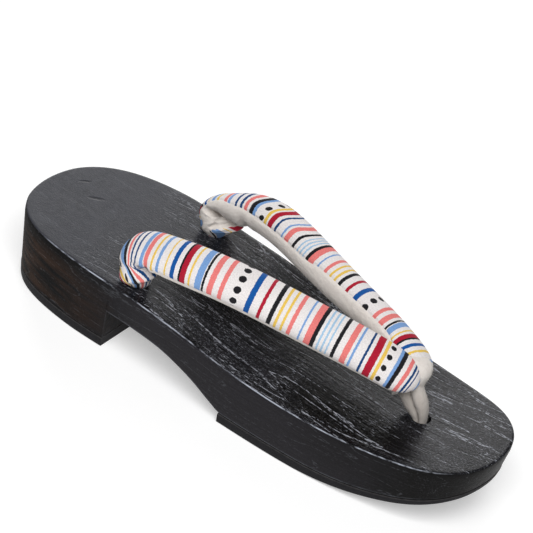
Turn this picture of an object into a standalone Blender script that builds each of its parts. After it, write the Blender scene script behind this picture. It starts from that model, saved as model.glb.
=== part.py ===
# Geta sandal: a carved wooden board on two rubber soles, with padded straps and a toe thong.
# Run it with: blender --background --python part.py
# Metres. +X points to the toe, -Y is the side that the photograph shows, +Z is up.
# The origin is on the floor, under the middle of the board.
import math

import bmesh
import bpy
from mathutils import Vector

# Driving dimensions
BOARD_LENGTH = 0.240
BOARD_WIDTH = 0.082
HEEL_HEIGHT = 0.0354          # floor to the top of the board at the heel
WALL_LEAN = 0.096             # the side wall comes in by this share of its height
SOLE_THICKNESS = 0.0047
TOE_SOLE_THICKNESS = 0.0022   # the rubber thins to this at the toe's tip
GLUE_LINE = 0.0003            # between the board and each rubber sole
HEEL_FRONT_X = -0.0536        # front face of the heel block
ARCH_HEIGHT = 0.0197          # floor to the underside of the arch at the heel block
FOREFOOT_BACK_X = 0.0095      # where the forefoot sole starts
TOE_SPRING_X = 0.045          # where the underside starts to rise
TOE_SPRING = 0.0190           # how far it rises at the tip
CLEARANCE = 0.0003            # between curved pieces

REAR_HOLE_RADIUS = 0.0047
REAR_HOLE_WALL = 0.0006       # from the heel block's front face to the edge of the rear holes
REAR_HOLE_INSET = 0.0125      # from the board's widest edge to the middle of each rear hole
FRONT_HOLE_SETBACK = 0.0386   # from the toe's tip to the middle of the front hole
FRONT_HOLE_RADIUS = 0.0042
CORD_FIT = 0.0005             # gap round the straps and the thong in their holes

STRAP_RISE = 0.0260           # footbed to the strap's middle line at its highest
STRAP_WIDTH = 0.0190
STRAP_THICKNESS = 0.0165
STRAP_SETBACK = 0.0046        # from the front hole's middle back to the near strap's end
STRAP_LAP = 0.0010            # how much further forward the far strap ends
STRAP_KNOT_LENGTH = 0.0110
STRAP_KNOT_WIDTH = 0.0160
STRAP_KNOT_HEIGHT = 0.0075
CORD_NECK = 0.0020            # straight cord in the rear hole, under the footbed

THONG_WIDTH = 0.0068
THONG_THICKNESS = 0.0066
WRAP_RISE = 0.00165           # how far the wrap's middle line tops that of the straps
WRAP_REACH = 0.0192           # from the front hole's middle back to the wrap behind the straps
STEM_RISE = 0.0035            # how far the thong's stem runs up into the loop
THONG_KNOT_RADIUS = 0.0080
THONG_KNOT_HEIGHT = 0.0075
POCKET_ROOM = 0.0020          # gap round the thong's knot in its pocket
POCKET_ROOF = 0.0120          # wood left between the pocket and the footbed

OVERCUT = 0.0100              # how far cutters and slabs run past what they cut
OUTLINE_STEP = 4              # degrees
TOP_STEPS = 40
BEND_STEPS = 14
HOLE_STEPS = 32
ROUND_STEPS = 20
STRAP_STEPS = 48
THONG_STEPS = 40
THONG_END_STEPS = 6           # sections at each end of the loop that lie below the straps
EASING_PASSES = 5

# Sizes that follow
REAR_HOLE_X = HEEL_FRONT_X + REAR_HOLE_WALL + REAR_HOLE_RADIUS
REAR_HOLE_Y = BOARD_WIDTH / 2 - REAR_HOLE_INSET
FRONT_HOLE_X = BOARD_LENGTH / 2 - FRONT_HOLE_SETBACK
STRAP_FRONT_X = FRONT_HOLE_X - STRAP_SETBACK
WRAP_BACK_X = FRONT_HOLE_X - WRAP_REACH
SOLE_SEAT = SOLE_THICKNESS + GLUE_LINE

UP = Vector((0, 0, 1))

# The plan outline: where on the oval, as degrees from the heel's tip round to the toe's tip,
# and how far it is from the middle line, as a share of half the board's width.
OUTLINE = {
    "turn":  (0, 14, 32, 52, 72, 92, 112, 132, 150, 166, 180),
    "reach": (0, 0.439, 0.798, 0.968, 0.978, 0.996, 0.980, 0.883, 0.720, 0.413, 0),
}

# The footbed's height along the board, as a share of the heel's height.
FOOTBED = {
    "along":  (0, 0.2, 0.4, 0.6, 0.8, 1),
    "height": (0.966, 1.0, 0.934, 0.794, 0.792, 0.921),
}

# The underside of the arch, from the heel block to the forefoot.
ARCH = {
    "along": (0, 0.25, 0.45, 0.6, 0.75, 0.9, 1),
    "rise":  (1, 0.955, 0.885, 0.74, 0.52, 0.21, 0),
}

# One strap, from its knot under the board to its front end. Along is the share of the way from
# the rear hole to the front end, side a share of the rear hole's distance from the middle line,
# rise a share of the strap's rise over the footbed, width and thickness shares of the strap's.
STRAP = {
    "along":     (0.001, -0.006, -0.020, -0.032, -0.026, -0.001, 0.038, 0.10, 0.19, 0.30, 0.43,
                  0.595, 0.745, 0.87, 0.94, 0.983, 1.0),
    "side":      (1.0, 1.005, 1.01, 1.015, 1.02, 1.02, 1.015, 1.0, 0.95, 0.87, 0.735,
                  0.55, 0.41, 0.28, 0.21, 0.165, 0.145),
    "rise":      (0.075, 0.16, 0.285, 0.415, 0.56, 0.68, 0.745, 0.80, 0.88, 0.96, 1.0,
                  0.97, 0.93, 0.84, 0.755, 0.66, 0.61),
    "width":     (0.56, 0.70, 0.80, 0.84, 0.88, 0.92, 0.96, 0.98, 1.0, 1.0, 1.0,
                  1.0, 1.0, 0.98, 0.90, 0.62, 0.20),
    "thickness": (0.60, 0.66, 0.68, 0.68, 0.68, 0.70, 0.76, 0.88, 0.98, 1.0, 1.0,
                  0.96, 0.88, 0.80, 0.70, 0.46, 0.14),
    "tilt":      (0, 2, 5, 8, 12, 17, 22, 26, 29, 30, 31, 32, 32, 32, 32, 32, 32),
}

# The far strap has sagged at its rear bend and rides up in front of it: what is added to the
# shares of the strap's table, by the share of the way through its rows.
FAR_STRAP = {
    "way":       (0, 0.125, 0.25, 0.375, 0.5, 0.625, 0.75, 1),
    "side":      (0, 0, 0, -0.01, 0.02, -0.02, 0, 0),
    "rise":      (0, -0.015, -0.07, -0.08, 0.05, 0.01, 0.02, 0),
    "thickness": (0, -0.12, -0.28, -0.14, 0.03, 0.03, 0, 0),
}

# The knot that ends a strap under the board, from its underside up: rise is a share of the knot's
# height, size a share of its length and width.
STRAP_KNOT = {
    "rise": (0, 0.2, 0.5, 0.85, 1),
    "size": (0.45, 0.85, 1.0, 0.8, 0.62),
}

# The knot that ends the thong in its pocket: radius is a share of the knot's radius.
THONG_KNOT = {
    "rise":   (0, 0.2, 0.53, 0.89),
    "radius": (0.5, 0.85, 1.0, 0.8),
}

# The stem over the front hole, inside the loop: radius is a share of the radius in the hole.
STEM = {
    "rise":   (0, 0.63, 1),
    "radius": (1.0, 0.75, 0.3),
}

# The thong's loop round the straps' ends, from the front hole up its front, over and down its back.
# Along runs from the wrap's back to the front hole, rise from the footbed to the wrap's top.
THONG_LOOP = {
    "along":     (1.005, 0.96, 0.85, 0.70, 0.63, 0.655, 0.60, 0.445, 0.205, 0.04, 0.01,
                  0.15, 0.385, 0.60, 0.80),
    "rise":      (0.045, 0.18, 0.33, 0.475, 0.615, 0.765, 0.90, 0.99, 0.99, 0.875, 0.69,
                  0.49, 0.305, 0.14, 0.06),
    "width":     (0.60, 0.88, 1.0, 1.0, 1.05, 1.1, 1.1, 1.1, 1.1, 1.05, 1.0,
                  1.0, 1.0, 0.9, 0.5),
    "thickness": (0.45, 0.85, 0.98, 0.74, 0.60, 0.58, 0.58, 0.58, 0.58, 0.58, 0.60,
                  0.70, 0.86, 0.90, 0.36),
}


def clear_scene():
    for thing in list(bpy.data.objects):
        bpy.data.objects.remove(thing, do_unlink=True)


def read(table, at, column):
    """A smooth curve through one column of a table, read against its first column."""
    keys = list(table.values())[0]
    values = table[column]
    at = min(max(at, keys[0]), keys[-1])
    row = max(i for i in range(len(keys) - 1) if keys[i] <= at)

    def slope(i):
        low = max(i - 1, 0)
        high = min(i + 1, len(keys) - 1)
        return (values[high] - values[low]) / (keys[high] - keys[low])

    step = keys[row + 1] - keys[row]
    t = (at - keys[row]) / step
    start = values[row] * (1 + 2 * t) * (1 - t) ** 2 + slope(row) * step * t * (1 - t) ** 2
    end = values[row + 1] * t * t * (3 - 2 * t) + slope(row + 1) * step * t * t * (t - 1)
    return start + end


def footbed_height(x):
    share = min(max(x / BOARD_LENGTH + 0.5, 0), 1)
    return HEEL_HEIGHT * read(FOOTBED, share, "height")


def arch_height(x):
    share = (x - HEEL_FRONT_X) / (FOREFOOT_BACK_X - HEEL_FRONT_X)
    return SOLE_SEAT + (ARCH_HEIGHT - SOLE_SEAT) * read(ARCH, share, "rise")


def toe_share(x):
    return max(0, (x - TOE_SPRING_X) / (BOARD_LENGTH / 2 - TOE_SPRING_X))


def sole_bottom(x):
    return TOE_SPRING * toe_share(x) ** 2


def sole_top(x):
    return sole_bottom(x) + SOLE_THICKNESS + (TOE_SOLE_THICKNESS - SOLE_THICKNESS) * toe_share(x)


def board_bottom(x):
    return sole_top(x) + GLUE_LINE


def outline(height):
    """The plan outline at a height over the floor, counterclockwise. The wall leans in going down."""
    turns = range(0, 181, OUTLINE_STEP)
    half = [(-math.cos(math.radians(turn)) * BOARD_LENGTH / 2,
             read(OUTLINE, turn, "reach") * BOARD_WIDTH / 2) for turn in turns]
    ring = [Vector((x, -y)) for x, y in half] + [Vector((x, y)) for x, y in half[-2:0:-1]]
    points = []
    for i, point in enumerate(ring):
        run = ring[(i + 1) % len(ring)] - ring[i - 1]
        outward = Vector((run.y, -run.x)).normalized()
        lean = WALL_LEAN * (footbed_height(point.x) - height)
        points.append((point.x - outward.x * lean, point.y - outward.y * lean, height))
    return points


def make_object(name, bm, material=None, cutter=False):
    bmesh.ops.recalc_face_normals(bm, faces=bm.faces)
    mesh = bpy.data.meshes.new(name)
    bm.to_mesh(mesh)
    bm.free()
    thing = bpy.data.objects.new(name, mesh)
    bpy.context.scene.collection.objects.link(thing)
    if material:
        mesh.materials.append(material)
    if cutter:
        thing.hide_render = True
        thing.display_type = "WIRE"
    return thing


def make_material(name, colour, roughness):
    material = bpy.data.materials.new(name)
    material.use_nodes = True
    shader = material.node_tree.nodes["Principled BSDF"]
    shader.inputs["Base Color"].default_value = (*colour, 1)
    shader.inputs["Roughness"].default_value = roughness
    shader.inputs["Metallic"].default_value = 0
    material.diffuse_color = (*colour, 1)
    return material


def boolean(thing, operation, other):
    modifier = thing.modifiers.new(other.name, "BOOLEAN")
    modifier.operation = operation
    modifier.solver = "EXACT"
    modifier.object = other


def ring_of(bm, points):
    verts = [bm.verts.new(point) for point in points]
    return [bm.edges.new((verts[i - 1], verts[i])) for i in range(len(verts))]


def loft(rings):
    """A closed skin through rings that have the same number of points."""
    bm = bmesh.new()
    loops = [ring_of(bm, ring) for ring in rings]
    for low, high in zip(loops, loops[1:]):
        bmesh.ops.bridge_loops(bm, edges=low + high)
    bmesh.ops.edgeloop_fill(bm, edges=loops[0])
    bmesh.ops.edgeloop_fill(bm, edges=loops[-1])
    return bm


def plan_block():
    """The oval block that the board and both soles are cut from."""
    levels = [outline(-OVERCUT), outline(HEEL_HEIGHT + OVERCUT)]
    return make_object("plan_block", loft(levels), cutter=True)


def side_slab(name, profile, material):
    """A side profile, as (x, z) points, pulled across the sandal."""
    half = BOARD_WIDTH
    bm = bmesh.new()
    edges = ring_of(bm, [(x, -half, z) for x, z in profile])
    face = bmesh.ops.edgeloop_fill(bm, edges=edges)["faces"]
    pulled = bmesh.ops.extrude_face_region(bm, geom=face)["geom"]
    moved = [item for item in pulled if isinstance(item, bmesh.types.BMVert)]
    bmesh.ops.translate(bm, verts=moved, vec=(0, 2 * half, 0))
    return make_object(name, bm, material)


def span(start, end, steps):
    return [start + (end - start) * i / steps for i in range(steps + 1)]


def hole(name, x, y, radius, top):
    """A round cutter from below the soles up to a height."""
    depth = top + OVERCUT
    bm = bmesh.new()
    bmesh.ops.create_cone(bm, cap_ends=True, segments=HOLE_STEPS, radius1=radius, radius2=radius, depth=depth)
    bmesh.ops.translate(bm, verts=bm.verts, vec=(x, y, top - depth / 2))
    return make_object(name, bm, cutter=True)


def build_board(block, material):
    past = BOARD_LENGTH / 2 + OVERCUT
    above = HEEL_HEIGHT + OVERCUT
    top = [(x, footbed_height(x)) for x in span(past, -past, TOP_STEPS)]
    heel = [(-past, SOLE_SEAT), (HEEL_FRONT_X, SOLE_SEAT)]
    arch = [(x, arch_height(x)) for x in span(HEEL_FRONT_X, FOREFOOT_BACK_X, BEND_STEPS)]
    toe = [(x, board_bottom(x)) for x in span(TOE_SPRING_X, past, BEND_STEPS)]
    board = side_slab("dai", top + heel + arch + toe, material)
    boolean(board, "INTERSECT", block)
    for side, y in (("near", -REAR_HOLE_Y), ("far", REAR_HOLE_Y)):
        boolean(board, "DIFFERENCE", hole("rear_hole_" + side, REAR_HOLE_X, y, REAR_HOLE_RADIUS, above))
    boolean(board, "DIFFERENCE", hole("front_hole", FRONT_HOLE_X, 0, FRONT_HOLE_RADIUS, above))
    roof = footbed_height(FRONT_HOLE_X) - POCKET_ROOF
    pocket = hole("knot_pocket", FRONT_HOLE_X, 0, THONG_KNOT_RADIUS + POCKET_ROOM, roof)
    boolean(board, "DIFFERENCE", pocket)
    return pocket


def build_soles(block, pocket, material):
    past = BOARD_LENGTH / 2 + OVERCUT
    ends = (-past, HEEL_FRONT_X)
    profile = [(x, SOLE_THICKNESS) for x in reversed(ends)] + [(x, 0) for x in ends]
    heel = side_slab("heel_sole", profile, material)
    boolean(heel, "INTERSECT", block)
    stations = [FOREFOOT_BACK_X] + span(TOE_SPRING_X, past, BEND_STEPS)
    under = [(x, sole_bottom(x)) for x in stations]
    over = [(x, sole_top(x)) for x in reversed(stations)]
    forefoot = side_slab("forefoot_sole", under + over, material)
    boolean(forefoot, "INTERSECT", block)
    boolean(forefoot, "DIFFERENCE", pocket)


def section(centre, tangent, side, width, thickness, tilt):
    """An oval across a strap. Its wide axis leans from the low outer edge to the high inner edge."""
    out = Vector((0, side, 0))
    out = (out - out.dot(tangent) * tangent).normalized()
    top = out.cross(tangent) * -side
    wide = -out * math.cos(tilt) + top * math.sin(tilt)
    deep = out * math.sin(tilt) + top * math.cos(tilt)
    points = []
    for i in range(ROUND_STEPS):
        turn = 2 * math.pi * i / ROUND_STEPS
        offset = wide * (width / 2 * math.cos(turn)) + deep * (thickness / 2 * math.sin(turn))
        points.append(centre + offset)
    return points


def by_row(table, steps):
    """The table's rows and the steps between them, each as a dictionary of its columns."""
    rows = len(list(table.values())[0])
    counted = {"row": tuple(range(rows)), **table}
    for i in range(steps + 1):
        at = (rows - 1) * i / steps
        yield {column: read(counted, at, column) for column in table}


def eased(centres):
    """The same path with its turns spread over the points beside them."""
    for _ in range(EASING_PASSES):
        inner = [(a + 2 * b + c) / 4 for a, b, c in zip(centres, centres[1:], centres[2:])]
        centres = [centres[0], *inner, centres[-1]]
    return centres


def tangents(centres):
    """The direction of a path at each of its points."""
    last = len(centres) - 1
    return [(centres[min(i + 1, last)] - centres[max(i - 1, 0)]).normalized() for i in range(last + 1)]


def knot_rings(side):
    """The knot that ends a strap, clear of the heel block's face and of the arch over it."""
    x = HEEL_FRONT_X + CLEARANCE + STRAP_KNOT_LENGTH / 2
    low = arch_height(x + STRAP_KNOT_LENGTH / 2) - CLEARANCE - STRAP_KNOT_HEIGHT
    rings = []
    for rise, size in zip(STRAP_KNOT["rise"], STRAP_KNOT["size"]):
        centre = Vector((x, side * REAR_HOLE_Y, low + STRAP_KNOT_HEIGHT * rise))
        rings.append(section(centre, UP, side, STRAP_KNOT_WIDTH * size, STRAP_KNOT_LENGTH * size, 0))
    return rings


def strap_rings(side, front_x):
    """The sections of one strap: knot, cord through the rear hole, then the padded strap."""
    rings = knot_rings(side)
    cord = 2 * (REAR_HOLE_RADIUS - CORD_FIT)
    bed = footbed_height(REAR_HOLE_X)
    for height in (rings[-1][0].z + CLEARANCE, bed - CORD_NECK, bed):
        rings.append(section(Vector((REAR_HOLE_X, side * REAR_HOLE_Y, height)), UP, side, cord, cord, 0))
    rows = list(by_row(STRAP, STRAP_STEPS))
    centres = []
    for i, row in enumerate(rows):
        if side > 0:
            for column in ("side", "rise", "thickness"):
                row[column] += read(FAR_STRAP, i / STRAP_STEPS, column)
        x = REAR_HOLE_X + (front_x - REAR_HOLE_X) * row["along"]
        z = footbed_height(x) + STRAP_RISE * row["rise"]
        centres.append(Vector((x, side * REAR_HOLE_Y * row["side"], z)))
    centres = eased(centres)
    for row, centre, tangent in zip(rows, centres, tangents(centres)):
        rings.append(section(centre, tangent, side, STRAP_WIDTH * row["width"],
                             STRAP_THICKNESS * row["thickness"], math.radians(row["tilt"])))
    return rings


def loop_rings(grow):
    """The sections of the thong's loop, made larger all round by grow."""
    rows = list(by_row(THONG_LOOP, THONG_STEPS))
    bed = footbed_height(FRONT_HOLE_X)
    centres = []
    for row in rows:
        x = WRAP_BACK_X + (FRONT_HOLE_X - WRAP_BACK_X) * row["along"]
        centres.append(Vector((x, 0, bed + (STRAP_RISE + WRAP_RISE) * row["rise"])))
    centres = eased(centres)
    rings = []
    for row, centre, tangent in zip(rows, centres, tangents(centres)):
        width = THONG_WIDTH * row["width"] + 2 * grow
        thickness = THONG_THICKNESS * row["thickness"] + 2 * grow
        rings.append(section(centre, tangent, 1, width, thickness, 0))
    return rings


def stem_rings():
    """The thong's stem: a knot in the pocket, then up through the front hole into the loop."""
    bed = footbed_height(FRONT_HOLE_X)
    top = bed - POCKET_ROOF - CLEARANCE
    low = top - THONG_KNOT_HEIGHT
    neck = FRONT_HOLE_RADIUS - CORD_FIT
    steps = [(low + THONG_KNOT_HEIGHT * rise, THONG_KNOT_RADIUS * radius)
             for rise, radius in zip(THONG_KNOT["rise"], THONG_KNOT["radius"])]
    steps.append((top, neck))
    steps += [(bed + STEM_RISE * rise, neck * radius) for rise, radius in zip(STEM["rise"], STEM["radius"])]
    return [section(Vector((FRONT_HOLE_X, 0, height)), UP, 1, 2 * radius, 2 * radius, 0)
            for height, radius in steps]


def build_straps(material):
    straps = make_object("straps", loft(strap_rings(-1, STRAP_FRONT_X)), material)
    far_strap = make_object("far_strap", loft(strap_rings(1, STRAP_FRONT_X + STRAP_LAP)), cutter=True)
    boolean(straps, "UNION", far_strap)
    around = loop_rings(CLEARANCE)[THONG_END_STEPS:-THONG_END_STEPS]
    groove = make_object("thong_groove", loft(around), cutter=True)
    boolean(straps, "DIFFERENCE", groove)


def build_thong(material):
    thong = make_object("toe_thong", loft(loop_rings(0)), material)
    boolean(thong, "UNION", make_object("thong_stem", loft(stem_rings()), cutter=True))


def main():
    clear_scene()
    wood = make_material("black_stained_wood", (0.014, 0.014, 0.016), 0.42)
    rubber = make_material("black_rubber", (0.012, 0.012, 0.012), 0.7)
    cotton = make_material("striped_cotton", (0.75, 0.72, 0.70), 0.85)
    flannel = make_material("cream_flannel", (0.70, 0.66, 0.60), 0.95)
    block = plan_block()
    pocket = build_board(block, wood)
    build_soles(block, pocket, rubber)
    build_straps(cotton)
    build_thong(flannel)


main()
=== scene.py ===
# %% [markdown]
# # Dressing a geta: a stained board, rubber soles and padded straps
#
# A geta is a Japanese sandal: a carved wooden board, here stained black, on two rubber soles, with
# a pair of padded cloth straps that meet at a toe thong. The solid model says where each piece is.
# This lesson gives the pieces the forms and the finishes that the eye sees, one step at a time.
# Everything is in metres, in the solid model's own frame: +X points to the toe, +Z is up, and the
# camera looks from the -Y side.

# %% Load the solid model as a fixed frame
import math
import random

import bmesh
import bpy
from mathutils import Matrix, Vector


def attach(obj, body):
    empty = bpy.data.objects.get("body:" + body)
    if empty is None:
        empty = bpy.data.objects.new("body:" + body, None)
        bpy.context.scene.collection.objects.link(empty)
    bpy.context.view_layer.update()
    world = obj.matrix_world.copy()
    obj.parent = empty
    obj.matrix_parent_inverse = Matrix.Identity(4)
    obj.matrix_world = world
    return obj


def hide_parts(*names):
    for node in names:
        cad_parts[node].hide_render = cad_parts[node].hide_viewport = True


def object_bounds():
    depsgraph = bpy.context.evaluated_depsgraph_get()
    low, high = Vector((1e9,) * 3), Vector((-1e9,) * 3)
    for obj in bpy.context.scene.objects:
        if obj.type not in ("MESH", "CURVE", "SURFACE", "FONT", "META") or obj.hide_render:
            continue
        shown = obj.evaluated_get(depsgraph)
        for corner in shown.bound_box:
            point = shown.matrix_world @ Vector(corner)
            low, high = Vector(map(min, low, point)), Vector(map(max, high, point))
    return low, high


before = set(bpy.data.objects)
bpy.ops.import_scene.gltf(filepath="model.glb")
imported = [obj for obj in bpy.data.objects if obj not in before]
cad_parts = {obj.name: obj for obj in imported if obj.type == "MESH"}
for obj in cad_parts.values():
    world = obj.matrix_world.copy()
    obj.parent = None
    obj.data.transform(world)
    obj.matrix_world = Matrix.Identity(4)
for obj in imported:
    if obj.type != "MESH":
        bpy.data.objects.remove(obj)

CAD_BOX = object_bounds()
MM = 0.001
lowest, highest = ([round(v / MM, 1) for v in corner] for corner in CAD_BOX)
print("solid model from", lowest, "to", highest, "mm")

# %% [markdown]
# ## The camera
#
# A camera is best placed first, because every form is then judged in the view that it has to match.
# It could be moved by hand until the picture looks right, but here its direction comes from numbers:
# how far it is turned round the sandal, how high it stands and how far it is rolled. The object
# stands on the floor, so the tilt in the picture is the camera's roll and not the sandal's.

# %% Make the camera
CAMERA_TURN, CAMERA_HEIGHT, CAMERA_ROLL = (math.radians(a) for a in (26.176, 34.699, 15.402))
CAMERA_TARGET = Vector((-27.53, 44.781, 20.0)) * MM
CAMERA_DISTANCE = 1.2
PICTURE_WIDTH = 533
PIXELS_PER_METRE = 2271
SENSOR_WIDTH = 36


def place_camera():
    """A camera that looks at its target from a turn and a height, rolled about its own view."""
    back = Vector((math.sin(CAMERA_TURN) * math.cos(CAMERA_HEIGHT),
                   -math.cos(CAMERA_TURN) * math.cos(CAMERA_HEIGHT), math.sin(CAMERA_HEIGHT)))
    level = Vector((math.cos(CAMERA_TURN), math.sin(CAMERA_TURN), 0))
    upright = back.cross(level)
    right = level * math.cos(CAMERA_ROLL) + upright * math.sin(CAMERA_ROLL)
    up = upright * math.cos(CAMERA_ROLL) - level * math.sin(CAMERA_ROLL)
    lens = bpy.data.cameras.new("camera")
    lens.sensor_width = SENSOR_WIDTH
    lens.lens = SENSOR_WIDTH * PIXELS_PER_METRE * CAMERA_DISTANCE / PICTURE_WIDTH
    lens.clip_start, lens.clip_end = 0.05, 20
    camera = bpy.data.objects.new("camera", lens)
    camera.matrix_world = Matrix.Translation(CAMERA_TARGET + back * CAMERA_DISTANCE) @ Matrix(
        (right, up, back)).transposed().to_4x4()
    bpy.context.scene.collection.objects.link(camera)
    bpy.context.scene.camera = camera
    return camera


print("lens", round(place_camera().data.lens, 1), "mm")

# %% [markdown]
# ## Curves that are read from a table
#
# The footbed, the plan outline and the straps all change gently from one end to the other. Each is
# a short table of values at a few places, read as a smooth curve. It is how a boat builder
# works from offsets, and one number moves one place. The tables are the ones of the solid model.

# %% Read a smooth curve from a table
BOARD_LENGTH, BOARD_WIDTH, HEEL_HEIGHT = 0.240, 0.082, 0.0354
FOOTBED = {
    "along":  (0, 0.2, 0.4, 0.6, 0.8, 1),
    "height": (0.966, 1.0, 0.934, 0.794, 0.792, 0.921),
}


def read(table, at, column):
    """A smooth curve through one column of a table, read against its first column."""
    keys = list(table.values())[0]
    values = table[column]
    at = min(max(at, keys[0]), keys[-1])
    row = max(i for i in range(len(keys) - 1) if keys[i] <= at)

    def slope(i):
        low = max(i - 1, 0)
        high = min(i + 1, len(keys) - 1)
        return (values[high] - values[low]) / (keys[high] - keys[low])

    step = keys[row + 1] - keys[row]
    t = (at - keys[row]) / step
    start = values[row] * (1 + 2 * t) * (1 - t) ** 2 + slope(row) * step * t * (1 - t) ** 2
    end = values[row + 1] * t * t * (3 - 2 * t) + slope(row + 1) * step * t * t * (t - 1)
    return start + end


def footbed_height(x):
    return HEEL_HEIGHT * read(FOOTBED, min(max(x / BOARD_LENGTH + 0.5, 0), 1), "height")


print("footbed", [round(footbed_height(x / 50) / MM, 1) for x in range(-6, 7, 3)], "mm high from heel to toe")

# %% [markdown]
# ## Colours, nodes and meshes
#
# Three small helpers serve every step. Colours are picked as sRGB hex values, the way a paint
# program shows them, and the renderer wants them linear. A material is a tree of nodes, so one
# function adds a node with its settings and its links. The last function turns a bmesh into an
# object that sits at the origin with its place in its mesh.

# %% Make the helpers
def paint(hex_colour, opacity=1.0):
    """An sRGB hex colour as the linear values that a shader takes."""
    shares = [int(hex_colour[i:i + 2], 16) / 255 for i in (1, 3, 5)]
    return (*[s / 12.92 if s <= 0.04045 else ((s + 0.055) / 1.055) ** 2.4 for s in shares], opacity)


def add(tree, kind, inputs=None, stops=None, **settings):
    """Add a node. Inputs are values or sockets by name or number; stops are a ramp's places and colours."""
    node = tree.nodes.new("ShaderNode" + kind)
    for name, value in settings.items():
        setattr(node, name, value)
    for key, value in (inputs or {}).items():
        if isinstance(value, bpy.types.NodeSocket):
            tree.links.new(value, node.inputs[key])
        else:
            node.inputs[key].default_value = value
    if stops:
        ramp = node.color_ramp
        while len(ramp.elements) > 1:
            ramp.elements.remove(ramp.elements[-1])
        ramp.elements[0].position, ramp.elements[0].color = stops[0][0], stops[0][1]
        for place, colour in stops[1:]:
            ramp.elements.new(place).color = colour
    return node


def new_material(name):
    material = bpy.data.materials.new(name)
    material.use_nodes = True
    return material, material.node_tree, material.node_tree.nodes["Principled BSDF"]


def make_object(name, bm, *materials):
    """An object from a bmesh, smooth-shaded, with its faces turned outwards."""
    bmesh.ops.recalc_face_normals(bm, faces=bm.faces)
    mesh = bpy.data.meshes.new(name)
    bm.to_mesh(mesh)
    bm.free()
    mesh.shade_smooth()
    thing = bpy.data.objects.new(name, mesh)
    bpy.context.scene.collection.objects.link(thing)
    for material in materials:
        mesh.materials.append(material)
    return thing


def dress(piece, node):
    """The piece rides on the one body and stands for a CAD node, which is hidden."""
    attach(piece, "root")
    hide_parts(node)
    triangles = sum(len(p.vertices) - 2 for p in piece.data.polygons)
    print(piece.name, "has", triangles, "triangles before its modifiers")


print("a mid grey is", round(paint("#808080")[0], 3), "in linear light")

# %% [markdown]
# ## The finish of the board
#
# The board is a light softwood such as paulownia, brushed so that the hard late-wood lines stand
# proud, stained black and given a thin satin lacquer. The eye gets three things from it: long raised
# lines with the length of the board, a satin sheen that the lines break up, and pale flecks where
# the stain has rubbed off the ridges. The thin pale line along the sharp edges is a painted highlight.

# %% Set the sizes of the marks in the wood
# Noises drawn out along the grain: a mark's size in mm along X, Y and Z, the detail and the roughness.
GRAIN_NOISES = {
    "rings": ((70, 1.5, 1.5), 4.0, 0.6),
    "fleck": ((2.2, 0.45, 0.45), 3.0, 0.5),
    "vein":  ((220, 7, 7), 1.0, 0.5),
    "speck": ((0.9, 0.40, 0.40), 1.0, 0.5),
    "chip":  ((9, 3, 3), 4.0, 0.7),
    "arc":   ((26, 9, 3.2), 3.0, 0.5),
}
# Cloudy noises: a cloud's size in mm, the detail and the distortion.
CLOUDS = {"blotch": (22, 3.0, 0.0), "patch": (16, 2.0, 0.0), "swirl": (13, 4.0, 2.2), "grit": (0.7, 2.0, 0.0)}
# Masks cut from a noise: the noise, and the values at which black ends and white begins.
MASKS = {
    "ridge": ("rings", 0.40, 0.62), "rubbed": ("fleck", 0.60, 0.68), "in_patch": ("patch", 0.46, 0.66),
    "broken": ("fleck", 0.47, 0.56), "chips": ("chip", 0.38, 0.54), "brown": ("arc", 0.38, 0.60),
}
# Zones of the board: what they are read along, and in metres where each starts and is full.
ZONES = {
    "heel": ("drift", -0.020, -0.072), "toe": ("drift", 0.080, 0.115), "far_back": ("drift", -0.035, -0.100),
    "past_heel": ("X", -0.098, -0.078), "before_toe": ("X", 0.112, 0.092), "low_down": ("Z", 0.033, 0.026),
}
# Two marks on the heel: the centre and the half sizes in mm, and the turn in degrees.
KNOCKS = (((-107.5, 11, 35), (3.4, 1.1, 6), 43), ((-95.8, 4.3, 35), (4.6, 1.4, 6), 33))
# The middle and the half sizes of the painted dark reflection of the near strap, in mm.
STRAP_REFLECTION, STRAP_REFLECTION_SIZE = (60, -24, 28), (40, 19, 30)
print(len(GRAIN_NOISES), "noises along the grain,", len(CLOUDS), "clouds and", len(ZONES), "zones")


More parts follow.
